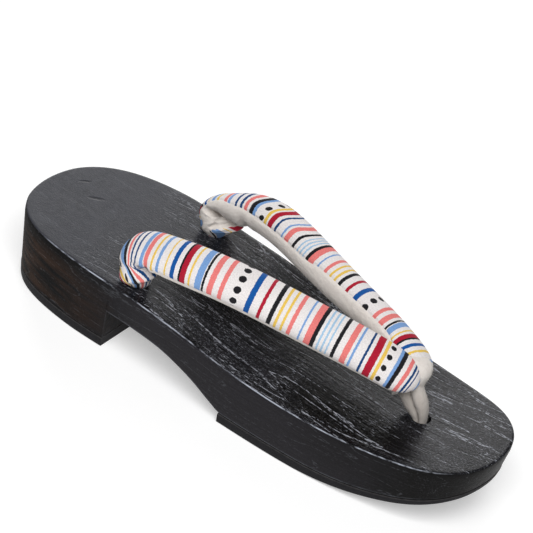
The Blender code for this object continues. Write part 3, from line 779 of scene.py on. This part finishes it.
# %% Set the straps' path
STRAP_RISE, STRAP_WIDTH, STRAP_THICKNESS = 0.0260, 0.0190, 0.0165
STRAP_FRONT_X, STRAP_LAP = FRONT_HOLE_X - 0.0046, 0.0010
STRAP_STEPS, FINE_STEPS, EASING_PASSES = 48, 5, 5
NEAR, FAR = -1, 1
STRAP = {
    "along":     (0.001, -0.006, -0.020, -0.032, -0.026, -0.001, 0.038, 0.10, 0.19, 0.30, 0.43,
                  0.595, 0.745, 0.87, 0.94, 0.983, 1.0),
    "side":      (1.0, 1.005, 1.01, 1.015, 1.02, 1.02, 1.015, 1.0, 0.95, 0.87, 0.735,
                  0.55, 0.41, 0.28, 0.21, 0.165, 0.145),
    "rise":      (0.075, 0.16, 0.285, 0.415, 0.56, 0.68, 0.745, 0.80, 0.88, 0.96, 1.0,
                  0.97, 0.93, 0.84, 0.755, 0.66, 0.61),
    "width":     (0.56, 0.70, 0.80, 0.84, 0.88, 0.92, 0.96, 0.98, 1.0, 1.0, 1.0,
                  1.0, 1.0, 0.98, 0.90, 0.62, 0.20),
    "thickness": (0.60, 0.66, 0.68, 0.68, 0.68, 0.70, 0.76, 0.88, 0.98, 1.0, 1.0,
                  0.96, 0.88, 0.80, 0.70, 0.46, 0.14),
    "tilt":      (0, 2, 5, 8, 12, 17, 22, 26, 29, 30, 31, 32, 32, 32, 32, 32, 32),
}
FAR_STRAP = {
    "way":       (0, 0.125, 0.25, 0.375, 0.5, 0.625, 0.75, 1),
    "side":      (0, 0, 0, -0.01, 0.02, -0.02, 0, 0),
    "rise":      (0, -0.015, -0.07, -0.08, 0.05, 0.01, 0.02, 0),
    "thickness": (0, -0.12, -0.28, -0.14, 0.03, 0.03, 0, 0),
}


def eased(centres, passes=EASING_PASSES):
    """The same path with its turns spread over the points beside them."""
    for _ in range(passes):
        inner = [(a + 2 * b + c) / 4 for a, b, c in zip(centres, centres[1:], centres[2:])]
        centres = [centres[0], *inner, centres[-1]]
    return centres


def refined(columns, steps, fine):
    """Columns of numbers, one per step, read again at finer steps."""
    table = {"step": tuple(range(steps + 1)), **{name: tuple(values) for name, values in columns.items()}}
    return [{name: read(table, i / fine, name) for name in columns} for i in range(steps * fine + 1)]


def with_course(sections):
    """Give each section its centre, its direction and how far along the middle line it is."""
    for section in sections:
        section["centre"] = Vector((section["x"], section["y"], section["z"]))
    length = 0.0
    for i, section in enumerate(sections):
        before, after = sections[max(i - 1, 0)], sections[min(i + 1, len(sections) - 1)]
        section["tangent"] = (after["centre"] - before["centre"]).normalized()
        length += (section["centre"] - before["centre"]).length
        section["u"] = length / MM
    return sections


def eased_step(low, high, at):
    share = min(max((at - low) / (high - low), 0), 1)
    return share * share * (3 - 2 * share)


def strap_sections(side):
    """Sections along one strap, from its hole to its front end."""
    front = STRAP_FRONT_X + (STRAP_LAP if side == FAR else 0)
    counted = {"row": tuple(range(len(STRAP["along"]))), **STRAP}
    rows = []
    for i in range(STRAP_STEPS + 1):
        row = {name: read(counted, (len(STRAP["along"]) - 1) * i / STRAP_STEPS, name) for name in STRAP}
        if side == FAR:
            for name in ("side", "rise", "thickness"):
                row[name] += read(FAR_STRAP, i / STRAP_STEPS, name)
        x = REAR_HOLE_X + (front - REAR_HOLE_X) * row["along"]
        row["centre"] = Vector((x, side * REAR_HOLE_Y * row["side"],
                                footbed_height(x) + STRAP_RISE * row["rise"]))
        rows.append(row)
    centres = eased([row["centre"] for row in rows])
    columns = {axis: [c[k] for c in centres] for k, axis in enumerate("xyz")}
    # The far strap thins towards its tip, to lie inside the wrap.
    tuck = [1 - 0.55 * eased_step(0.915, 0.965, i / STRAP_STEPS) if side == FAR else 1
            for i in range(len(rows))]
    columns["width"] = [STRAP_WIDTH * row["width"] * share for row, share in zip(rows, tuck)]
    columns["thickness"] = [STRAP_THICKNESS * row["thickness"] * share for row, share in zip(rows, tuck)]
    columns["tilt"] = [math.radians(row["tilt"]) for row in rows]
    return with_course(refined(columns, STRAP_STEPS, FINE_STEPS))


def section_axes(tangent, side, tilt):
    """The wide axis leans from the low outer edge to the high inner edge; the deep one faces up and out."""
    out = Vector((0, side, 0))
    out = (out - out.dot(tangent) * tangent).normalized()
    top = out.cross(tangent) * -side
    return top * math.sin(tilt) - out * math.cos(tilt), out * math.sin(tilt) + top * math.cos(tilt)


NEAR_SECTIONS, FAR_SECTIONS = strap_sections(NEAR), strap_sections(FAR)
print("strap lengths", round(NEAR_SECTIONS[-1]["u"], 1), round(FAR_SECTIONS[-1]["u"], 1), "mm")

# %% [markdown]
# ## Seams, print and creases, strap by strap
#
# Three things are laid on the tube. The seams are angles round the oval: 0 is the high inner
# edge, 90 the crown and 180 the low outer edge. The print is eased onto the strap as a sewer eases
# cloth round a bend, so a table says which place of the repeat lies at which place of the strap.
# The creases are soft troughs with a ridge on each side, where the padding is pinched at the bends.

# %% Lay out the seams, the print and the creases
NEAR_SEAMS = {
    "u":     (0, 8, 14, 19, 23, 27, 40, 100, 140, 150),
    "inner": (8, 8, 8, 8, 8, 6, 6, 6, 8, 8),
    "outer": (310, 306, 284, 246, 210, 188, 180, 180, 186, 196),
}
FAR_SEAMS = {
    "u":     (0, 2, 4, 7, 9, 11, 13, 15, 17.5, 21, 27, 32, 38, 46, 60, 75, 80, 92, 118, 124, 128, 136, 150),
    "inner": (38, 34, 14, 12, 24, 16, 6, 18, 26, 23, 5, 0, -8, -15, -15, -10, 0, 5, 5, 2, -14, -30, -30),
    "outer": (200, 200, 200, 200, 200, 200, 200, 200, 200, 202, 204, 206, 206, 206, 206, 206, 206, 206, 206,
              206, 206, 204, 200),
}
FAR_TURN = ((-360, 0), (-60, 1.6), (5, 1.4), (25, 1.0), (60, 0), (100, -0.4), (215, 0))
# How far up the far strap's bend the cotton is turned in under it, by the angle.
TURNED_IN = ((200, 1.6), (240, 1.8), (262, 2.2), (290, 2.4), (320, 2.0), (340, 1.0), (352, -3.0), (420, -3.0))
NEAR_PRINT = (
    (-14, -22), (-3, -13.5), (0, -9.9), (1.6, -8.6), (4.3, -7.1), (5.3, -4.0), (5.7, -3.1), (8.0, -1.8),
    (10.2, 0),
    (11.9, 3.6), (14.0, 5.2), (15.4, 7.1), (16.0, 8.3), (16.9, 10.0), (17.5, 11.0), (18.1, 11.9),
    (19.3, 13.3), (20.0, 14.2), (21.5, 16.9), (23.0, 18.6), (25.2, 21.1), (26.6, 24.0), (131.6, 129.0),
    (134.7, 132.6), (135.9, 134.2), (137.6, 136.1), (139.4, 137.3), (141.0, 139.0), (142.9, 140.9),
    (144.1, 143.2), (149, 149.0),
)
FAR_PRINT = (
    (-14, 62), (-2, 50.5), (2, 47.1), (6, 44.4), (8, 39.9), (12, 36.8), (14, 33.0), (15, 30.3), (16, 27.7),
    (17.5, 26.4), (18, 24.9), (19, 24.0),
    (22, 21.1), (23.5, 19.0), (24, 18.6), (25.5, 16.9), (28.3, 14.2), (29.5, 13.3), (31.3, 11.9),
    (32.5, 11.0),
    (33.5, 10.0), (35.3, 8.3), (36.7, 7.1), (38.8, 5.2), (40.3, 3.6), (44.0, 0), (46.0, -1.8), (47.3, -3.1),
    (48.3, -4.1), (50.6, -7.1), (52.5, -8.7), (53.5, -9.6), (56.9, -13.1), (57.9, -14.1), (59.0, -15.2),
    (61.5, -17.7), (64.0, -20.3), (65.5, -21.9), (67.8, -24.2), (69.7, -26.3), (71.5, -28.4), (73.0, -29.7),
    (74.3, -31.5), (77.3, -34.3), (79.5, -36.3), (80.1, -37.1), (83.2, -40.6), (84.7, -42.2), (86.5, -44.2),
    (87.6, -45.3), (89.2, -47.1), (90.4, -48.3), (91.9, -49.7), (93.5, -51.7), (96.5, -54.9), (98.1, -56.3),
    (101.3, -59.7), (103.6, -62.1), (108.4, -67.2), (113.4, -72.3), (115.5, -74.2), (117.1, -76.7),
    (119.8, -79.0), (121.1, -80.6), (122.0, -81.5), (125.0, -84.6), (126.6, -86.8), (127.6, -87.6),
    (128.6, -89.1), (130.7, -91.4), (131.7, -92.2), (133.6, -94.2), (135.0, -96.0), (136.5, -98.0),
    (138.0, -98.7), (141.0, -102.0), (149, -110),
)
# How much of the near strap's print is drawn in to the crease, by the angle round the oval.
NEAR_GATHER = ((-360, 0), (125, 0), (150, 1.2), (180, 4.9), (210, 14), (260, 19), (310, 23), (370, 24))
NEAR_TURN = ((-360, 0), (0, 0.8), (40, 0.6), (85, 0), (150, -0.35), (200, -0.3), (380, 0))
# Where one dot of each row lies on the strap, as the angle round the oval.
NEAR_DOTS = {"u": (0, 10.2, 64.4, 131.6, 150), "angle": (147, 147, 89, 83, 83)}
FAR_DOTS = {"u": (0, 44.0, 108.4, 150), "angle": (30, 30, 47, 47)}
# Each crease: how far along, from which angle to which, its half width and depth in mm, its slant.
NEAR_CREASES = ((23.0, 150, 290, 1.3, 0.9, -3.0), (9.0, 150, 215, 1.5, 0.3, 1.0))
FAR_CREASES = ((7.0, -150, -10, 1.0, 2.4, -13.0), (3.4, -135, -15, 0.7, 1.4, -1.0),
               (13.5, -140, 0, 1.4, 0.8, -2.0),
               (32.0, -120, -20, 2.5, 0.4, 3.0))
# Each fold stands proud where the bend bunches the cloth: from and to along the strap, the run in
# and out, the middle angle, its half width and its height in mm.
ALL_ROUND = 999
NEAR_FOLDS = ((0.0, 12.0, 2.0, 5.0, 255, 55, 3.0), (-2.2, 1.5, 0.7, 6.0, 180, ALL_ROUND, 2.0),
              (140.0, 142.5, 1.5, 2.0, 240, 20, 6.5))
FAR_FOLDS = ((-1.0, 10.0, 1.5, 4.0, 260, 54, 6.8), (17.0, 26.0, 4.0, 8.0, 262, 50, 2.1),
             (-2.2, 1.0, 0.7, 5.0, 180, ALL_ROUND, 1.2))


def between(pairs, at):
    """Straight-line reading of a list of pairs."""
    for (a, low), (b, high) in zip(pairs, pairs[1:]):
        if at <= b:
            return low + (high - low) * (at - a) / (b - a)
    return pairs[-1][1]


def near_shift(u, angle):
    """The print runs square across the near strap, fans in to the crease of its bend and turns at its tip."""
    gathered = between(NEAR_GATHER, angle) * max(0, 1 - u / 24)
    return gathered + between(NEAR_TURN, angle) * eased_step(112, 128, u)


def far_shift(u, angle):
    """On the far strap the print leans over the crown behind its middle, and fans out under its bend."""
    if angle > 215:
        return 11 * (345 - max(angle, 240)) / 95
    on_crown = eased_step(20, 72, angle) * (1 - eased_step(80, 125, angle))
    behind_middle = eased_step(30, 40, u) * (1 - eased_step(62, 78, u))
    return between(FAR_TURN, angle) * eased_step(123, 133, u) - 3.0 * on_crown * behind_middle


def crease_depth(creases, u, angle):
    depth = 0.0
    for along, start, stop, half, deep, slant in creases:
        for turn in (angle, angle - 360):
            if start < turn < stop:
                share = (turn - start) / (stop - start)
                off = (u - along - slant * (share - 0.5)) / half
                fade = math.sin(math.pi * share) ** 0.7
                depth += deep * fade * (math.exp(-off * off) - 0.45 * math.exp(-((abs(off) - 2.0) ** 2)))
    return depth * MM


def fold_height(folds, u, angle):
    """How far the bunched cloth of the bend stands out."""
    height = 0.0
    for start, stop, run_in, run_out, middle, half, high in folds:
        share = eased_step(start, start + run_in, u) * (1 - eased_step(stop, stop + run_out, u))
        off = ((angle - middle + 180) % 360 - 180) / half
        height += high * share * math.exp(-off * off)
    return height * MM


print("creases:", len(NEAR_CREASES), "near,", len(FAR_CREASES), "far")

# %% Skin a strap over its ovals
COTTON_STEPS, LINING_STEPS = 40, 24
SEAM_DEPTH, SEAM_HALF = 0.45 * MM, 0.8 * MM
KNOT_INSET, BED_LIFT, TAIL_GAP = 0.0030, 0.0003, 0.0016
# The far strap's tip is cut short in mm, because the wrap holds it.
FAR_END = 143
KNOT_SIZE = (0.0110, 0.0160, 0.0055)
KNOT_RISE = ((0, 0.3), (0.06, 0.6), (0.2, 0.85), (0.5, 1.0), (0.8, 0.86), (1, 0.62))
CLEARANCE, CORD_FIT, CORD_NECK = 0.0003, 0.0005, 0.0020


def ring_angles(inner, outer):
    """Angles round the oval, cotton first, closer together beside the seams."""
    angles = []
    for start, stop, steps in ((inner, outer, COTTON_STEPS), (outer, inner + 360, LINING_STEPS)):
        for i in range(steps):
            t = i / steps
            angles.append(start + (stop - start) * (t - 0.5 * math.sin(2 * math.pi * t) / (2 * math.pi)))
    return angles


def oval_ring(section, side, angles, seams=(), creases=(), folds=()):
    """Points of one oval, with the seams sunk and the creases pressed in."""
    wide, deep = section_axes(section["tangent"], side, section["tilt"])
    half_wide, half_deep = section["width"] / 2, section["thickness"] / 2
    points = []
    for angle in angles:
        a = math.radians(angle)
        flat = wide * (half_wide * math.cos(a)) + deep * (half_deep * math.sin(a))
        outward = (wide * (math.cos(a) / half_wide) + deep * (math.sin(a) / half_deep)).normalized()
        sunk = crease_depth(creases, section["u"], angle)
        for seam in seams:
            turn = math.radians((angle - seam + 180) % 360 - 180)
            sunk += SEAM_DEPTH * math.exp(-(turn * (half_wide + half_deep) / 2 / SEAM_HALF) ** 2)
        proud = fold_height(folds, section["u"], angle)
        points.append(section["centre"] + flat + outward * (proud - min(sunk, half_deep * 0.5)))
    return points


def strap(name, side, sections, seams, creases, folds, chart, dots, shift, turned_in):
    bm = bmesh.new()
    turn_of, along_of = bm.verts.layers.float.new("turn"), bm.verts.layers.float.new("along")
    rings = []
    for section in tail_sections(side) + sections:
        inner, outer = read(seams, section["u"], "inner"), read(seams, section["u"], "outer")
        angles = ring_angles(inner, outer)
        rings.append((section["u"], angles, oval_ring(section, side, angles, (inner, outer), creases, folds)))
    loops = []
    for _, _, points in rings:
        loops.append(ring_of(bm, points))
        bm.verts.ensure_lookup_table()
        for k, vertex in enumerate(bm.verts[len(bm.verts) - len(points):]):
            vertex[turn_of], vertex[along_of] = k, len(loops) - 1
    for low, high in zip(loops, loops[1:]):
        bmesh.ops.bridge_loops(bm, edges=low + high)
    for end in (loops[0], loops[-1]):
        bmesh.ops.edgeloop_fill(bm, edges=end)
    count = COTTON_STEPS + LINING_STEPS
    arcs = [arc_lengths(points) for _, _, points in rings]
    cloth = bm.loops.layers.uv.new("cloth")
    first_strap_ring = len(rings) - len(sections)
    twisted = 0
    for face in bm.faces:
        turns = [round(loop.vert[turn_of]) for loop in face.loops]
        wraps = max(turns) - min(turns) > count / 2
        twisted += len(turns) == 4 and not wraps and max(turns) - min(turns) > 1
        low_turn = min(t if t > count / 2 or not wraps else t + count for t in turns)
        rows = [round(loop.vert[along_of]) for loop in face.loops]
        on_strap = min(rows) >= first_strap_ring - 2 and len(turns) == 4
        u, angles, _ = rings[max(rows)]
        is_cotton = low_turn < COTTON_STEPS or u < between(turned_in, angles[low_turn])
        face.material_index = 0 if on_strap and is_cotton else 1
        for loop, turn, row in zip(face.loops, turns, rows):
            u, angles, _ = rings[row]
            over = wraps and turn < count / 2
            angle = angles[turn] + (360 if over else 0)
            arc = arcs[row][0][turn] + (arcs[row][1] if over else 0)
            dot_arc = between(list(zip(angles, arcs[row][0])), read(dots, u, "angle"))
            loop[cloth].uv = (between(chart, u + shift(u, angle)) * MM, arc - dot_arc)
    made = make_object(name, bm, COTTON, FLANNEL)
    smoothing = made.modifiers.new("smooth", "SUBSURF")
    smoothing.levels = smoothing.render_levels = 1
    print(name, "twisted faces:", twisted)
    return made


def arc_lengths(points):
    """How far round each point is, and the whole way round, in metres."""
    arcs = [0.0]
    for a, b in zip(points, points[1:] + points[:1]):
        arcs.append(arcs[-1] + (b - a).length)
    return arcs[:-1], arcs[-1]


def tail_sections(side):
    """Knot under the board, then the cord up through the hole, as sections below the strap's own."""
    length, width, height = KNOT_SIZE
    knot_x = HEEL_FRONT_X + CLEARANCE + length / 2
    low = arch_height(knot_x + length / 2) - CLEARANCE - height
    bed = footbed_height(REAR_HOLE_X)
    cord = 2 * (REAR_HOLE_RADIUS - CORD_FIT)
    rows = [(knot_x, low + height * rise, width * size, length * size) for rise, size in KNOT_RISE]
    rows += [(REAR_HOLE_X, z, cord, cord) for z in (low + height + CLEARANCE, bed - CORD_NECK, bed)]
    rows.append((REAR_HOLE_X, bed + BED_LIFT, cord, cord))
    sections = []
    for x, z, width, thickness in rows:
        y = REAR_HOLE_Y - (KNOT_INSET if x == knot_x else 0)
        below = min(z - bed - BED_LIFT - TAIL_GAP, -TAIL_GAP)
        sections.append({"centre": Vector((x, side * y, z)), "tangent": Vector((0, 0, 1)), "width": width,
                         "thickness": thickness, "tilt": 0.0, "u": below / MM})
    return sections


near_strap = strap("near_strap", NEAR, NEAR_SECTIONS, NEAR_SEAMS, NEAR_CREASES, NEAR_FOLDS, NEAR_PRINT,
                   NEAR_DOTS, near_shift, ((0, 0.0), (720, 0.0)))
far_sections = [section for section in FAR_SECTIONS if section["u"] < FAR_END]
far_strap = strap("far_strap", FAR, far_sections, FAR_SEAMS, FAR_CREASES, FAR_FOLDS, FAR_PRINT,
                  FAR_DOTS, far_shift, TURNED_IN)
for piece in (near_strap, far_strap):
    dress(piece, "straps")

# %% [markdown]
# ## The toe thong
#
# A strip of the same flannel is wrapped round the straps where they meet. Its two ends run down
# together between the toes, through the front hole, to a knot in a pocket under the board. It is
# skinned over ovals along the loop, like the straps, and the stem and knot are a second small piece.

# %% Make the wrap and the thong's stem
WRAP_BACK_X, WRAP_RISE = FRONT_HOLE_X - 0.0192, 0.00165
THONG_WIDTH, THONG_THICKNESS, THONG_STEPS = 0.0068, 0.0066, 40
THONG_ROUND = 28
THONG_LOOP = {
    "along":     (1.07, 1.07, 1.01, 0.89, 0.71, 0.63, 0.70, 0.71, 0.52, 0.28, 0.12, 0.04,
                  0.17, 0.44, 0.66, 0.84, 0.94, 0.94),
    "side":      (0, 0, 0, 0, 0.2, 0.8, 1.9, 2.8, 2.6, 1.2, 0.3, 0, 0, 0, 0, 0, 0, 0),
    "rise":      (-0.20, -0.03, 0.12, 0.26, 0.38, 0.50, 0.62, 0.765, 0.85, 0.88, 0.82, 0.69,
                  0.49, 0.31, 0.16, 0.05, -0.05, -0.20),
    "width":     (0.66, 0.70, 0.88, 1.00, 1.00, 1.04, 1.26, 1.40, 1.20, 1.0, 1.0, 1.0,
                  1.0, 1.00, 1.00, 0.84, 0.66, 0.62),
    "thickness": (0.38, 0.42, 0.64, 0.86, 0.86, 0.78, 0.84, 0.88, 0.60, 0.46, 0.46, 0.56,
                  0.72, 0.96, 1.04, 0.80, 0.52, 0.42),
}
KNOT_RADIUS, KNOT_HEIGHT, STEM_DROP = 0.0080, 0.0075, 0.0025
STEM = ((0, 0.5), (0.2, 0.85), (0.53, 1.0), (0.89, 0.8))


def loop_sections():
    counted = {"row": tuple(range(len(THONG_LOOP["along"]))), **THONG_LOOP}
    rows = [{name: read(counted, (len(THONG_LOOP["along"]) - 1) * i / THONG_STEPS, name)
             for name in THONG_LOOP}
            for i in range(THONG_STEPS + 1)]
    bed = footbed_height(FRONT_HOLE_X)
    centres = eased([Vector((WRAP_BACK_X + (FRONT_HOLE_X - WRAP_BACK_X) * row["along"], row["side"] * MM,
                             bed + (STRAP_RISE + WRAP_RISE) * row["rise"])) for row in rows])
    columns = {axis: [c[k] for c in centres] for k, axis in enumerate("xyz")}
    columns["width"] = [THONG_WIDTH * row["width"] for row in rows]
    columns["thickness"] = [THONG_THICKNESS * row["thickness"] for row in rows]
    columns["tilt"] = [0.0] * len(rows)
    return with_course(refined(columns, THONG_STEPS, 3))


def round_rings(sections, side=FAR):
    angles = [360 * i / THONG_ROUND for i in range(THONG_ROUND)]
    return [oval_ring(section, side, angles) for section in sections]


def capped(rings):
    bm = bmesh.new()
    loops = [ring_of(bm, ring) for ring in rings]
    for low, high in zip(loops, loops[1:]):
        bmesh.ops.bridge_loops(bm, edges=low + high)
    for end in (loops[0], loops[-1]):
        bmesh.ops.edgeloop_fill(bm, edges=end)
    return bm


def stem_sections():
    bed = footbed_height(FRONT_HOLE_X)
    top = bed - POCKET_ROOF - CLEARANCE
    neck = FRONT_HOLE_RADIUS - CORD_FIT
    rows = [(top - KNOT_HEIGHT + KNOT_HEIGHT * rise, KNOT_RADIUS * radius) for rise, radius in STEM]
    rows += [(top, neck), (bed - STEM_DROP - 0.001, neck), (bed - STEM_DROP, 0.7 * neck)]
    return [{"centre": Vector((FRONT_HOLE_X, 0, z)), "tangent": Vector((0, 0, 1)), "width": 2 * r,
             "thickness": 2 * r, "tilt": 0.0, "u": 0.0} for z, r in rows]


thong_wrap = make_object("thong_wrap", capped(round_rings(loop_sections())), FLANNEL)
thong_stem = make_object("thong_stem", capped(round_rings(stem_sections())), FLANNEL)
for piece in (thong_wrap, thong_stem):
    smoothing = piece.modifiers.new("smooth", "SUBSURF")
    smoothing.levels = smoothing.render_levels = 1
    dress(piece, "toe_thong")

# %% [markdown]
# The flannel of the wrap is brushed, and its raised fibres stand out against the dark wood. A hair
# system would make millions of them. A few thousand thin spikes at random places, each leaning its
# own way, give the same soft edge, and they stay in the model as ordinary triangles.

# %% Raise the nap of the wrap
FIBRES, FIBRE_LENGTH, FIBRE_RADIUS, FIBRE_LEAN = 3000, 1.2 * MM, 0.035 * MM, 0.9


def raised_nap(name, piece, count, seed):
    """Spikes with three sides on a piece, spread evenly over its area."""
    chance = random.Random(seed)
    faces = piece.data.polygons
    chosen = chance.choices(faces, weights=[face.area for face in faces], k=count)
    bm = bmesh.new()
    for face in chosen:
        corners = [piece.data.vertices[i].co for i in face.vertices]
        shares = [chance.random() for _ in corners]
        root = sum((c * share for c, share in zip(corners, shares)), Vector()) / sum(shares)
        loose = Vector((chance.gauss(0, 1), chance.gauss(0, 1), chance.gauss(0, 1))).normalized()
        way = (face.normal + loose * FIBRE_LEAN).normalized()
        length = FIBRE_LENGTH * chance.uniform(0.4, 1.0)
        turn = way.to_track_quat("Z", "Y").to_matrix().to_4x4()
        bmesh.ops.create_cone(bm, segments=3, cap_ends=True, radius1=FIBRE_RADIUS, radius2=0.0, depth=length,
                              matrix=Matrix.Translation(root + way * (0.4 * length)) @ turn)
    return make_object(name, bm, FLANNEL)


wrap_nap = raised_nap("wrap_nap", thong_wrap, FIBRES, seed=5)
dress(wrap_nap, "toe_thong")

# %% [markdown]
# ## The studio
#
# A product is photographed on a white sweep with large soft lights. Black lacquer shows what
# it mirrors more than its own colour. A wide low card stands behind the sandal, where the raised heel
# and toe mirror it and the sloping middle looks over it into the dark. The main light is on the
# camera's side, where the board can't mirror it.

# %% Make the floor, the lights and the world
FLOOR_SIZE, FLOOR_GLOW, ROOM_GLOW = 12.0, 0.42, 0.06


def studio_floor():
    material, tree, shader = new_material("white_paper_sweep")
    shader.inputs["Base Color"].default_value = paint("#DADADA")
    shader.inputs["Roughness"].default_value = 0.9
    shader.inputs["Specular IOR Level"].default_value = 0.0
    shader.inputs["Emission Color"].default_value = paint("#FFFFFF")
    shader.inputs["Emission Strength"].default_value = FLOOR_GLOW
    bm = bmesh.new()
    bmesh.ops.create_grid(bm, x_segments=4, y_segments=4, size=FLOOR_SIZE / 2)
    floor = make_object("floor", bm, material)


def soft_light(name, towards, distance, width, height, radiance, aim=Vector((0, 0, 0.02))):
    """A rectangular light of a given brightness, a distance away in a direction, turned to the sandal."""
    lamp = bpy.data.lights.new(name, "AREA")
    lamp.shape, lamp.size, lamp.size_y = "RECTANGLE", width, height
    lamp.energy = radiance * math.pi * width * height
    light = bpy.data.objects.new(name, lamp)
    direction = Vector(towards).normalized()
    light.location = aim + direction * distance
    light.rotation_mode = "QUATERNION"
    light.rotation_quaternion = direction.to_track_quat("Z", "Y")
    bpy.context.scene.collection.objects.link(light)
    print(name, round(lamp.energy, 1), "W")


studio_floor()
soft_light("key_light", (0.25, -0.55, 0.9), 1.5, 1.2, 1.0, 6.1)
soft_light("back_card", (-0.57, 0.75, 0.33), 1.5, 1.1, 0.85, 4.7)
world = bpy.data.worlds.new("studio")
world.use_nodes = True
world.node_tree.nodes["Background"].inputs["Color"].default_value = paint("#FFFFFF")
world.node_tree.nodes["Background"].inputs["Strength"].default_value = ROOM_GLOW
bpy.context.scene.world = world
bpy.context.scene.view_settings.view_transform = "Standard"
